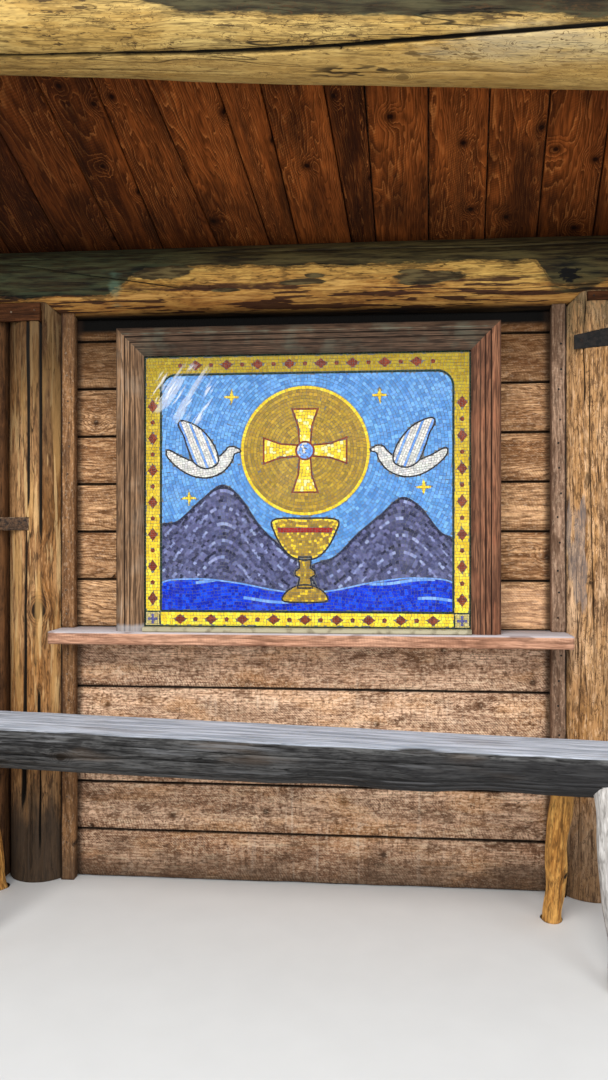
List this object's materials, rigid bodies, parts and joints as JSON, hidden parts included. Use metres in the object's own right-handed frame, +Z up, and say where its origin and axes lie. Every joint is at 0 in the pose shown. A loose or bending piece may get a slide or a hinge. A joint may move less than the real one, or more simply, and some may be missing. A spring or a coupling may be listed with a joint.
{
  "type": "log shrine shelter with a framed mosaic",
  "caption": "Log-built wayside shrine: a board wall between log posts carries a shelf and a framed mosaic under a sloping plank roof, with a low log rail in front.",
  "frame": {"origin": "on the ground under the middle of the roof's outline", "axes": "+Z up, +X to the right along the board wall, -Y towards the viewer; the wall stands at the back (+Y) and the roof rises towards the front"},
  "size_m": [3.6, 1.64, 3.3567],
  "materials": {
    "wall_boards": "rough-sawn, stained tan and weathered",
    "battens": "rough-sawn, stained tan",
    "post_logs": "peeled log, weathered, with drying cracks",
    "plate_log": "peeled log, ochre below and grey-green above",
    "beam_log": "peeled log, pale yellow",
    "roof_planks": "rough-sawn, stained reddish brown",
    "roof_battens": "rough-sawn, weathered grey brown",
    "header_boards": "stained reddish brown",
    "iron": "black, slightly rusted",
    "frame": "moulded, stained dark brown, weathered",
    "case": "stained dark brown",
    "backing": "plain board",
    "mosaic": "small glazed tesserae in pale grout",
    "clear_cover": "clear",
    "sill_strip": "dull, weathered",
    "shelf": "rough-sawn, tan edge and grey weathered top",
    "rail_log": "halved log, weathered grey",
    "rail_legs": "round pole, golden brown"
  },
  "bodies": {
    "root": {"backing_board": "backing", "case_side_left": "case", "case_side_right": "case", "case_top": "case", "clear_cover": "clear_cover", "frame_left": "frame", "frame_right": "frame", "frame_top": "frame", "front_beam_log": "beam_log", "front_post_left": "post_logs", "front_post_right": "post_logs", "header_board_left": "header_boards", "header_board_right": "header_boards", "lower_battens": "battens", "mosaic_panel": "mosaic", "outer_post_left": "post_logs", "outer_post_right": "post_logs", "rail_leg_left_front": "rail_legs", "rail_leg_left_rear": "rail_legs", "rail_leg_right_front": "rail_legs", "rail_leg_right_rear": "rail_legs", "rail_log": "rail_log", "rear_battens": "battens", "rear_plate_log": "plate_log", "rear_post_left": "post_logs", "rear_post_right": "post_logs", "roof_cover_battens": "roof_battens", "roof_planks": "roof_planks", "shelf": "shelf", "sill_strip": "sill_strip", "tie_strap_left": "iron", "tie_strap_right": "iron", "upper_battens": "battens", "wall_board_01": "wall_boards", "wall_board_02": "wall_boards", "wall_board_03": "wall_boards", "wall_board_04": "wall_boards", "wall_board_05": "wall_boards", "wall_board_06": "wall_boards", "wall_board_07": "wall_boards", "wall_board_08": "wall_boards", "wall_board_09": "wall_boards", "wall_board_10": "wall_boards", "wall_board_11": "wall_boards", "wall_board_12": "wall_boards"}
  },
  "joints": []
}
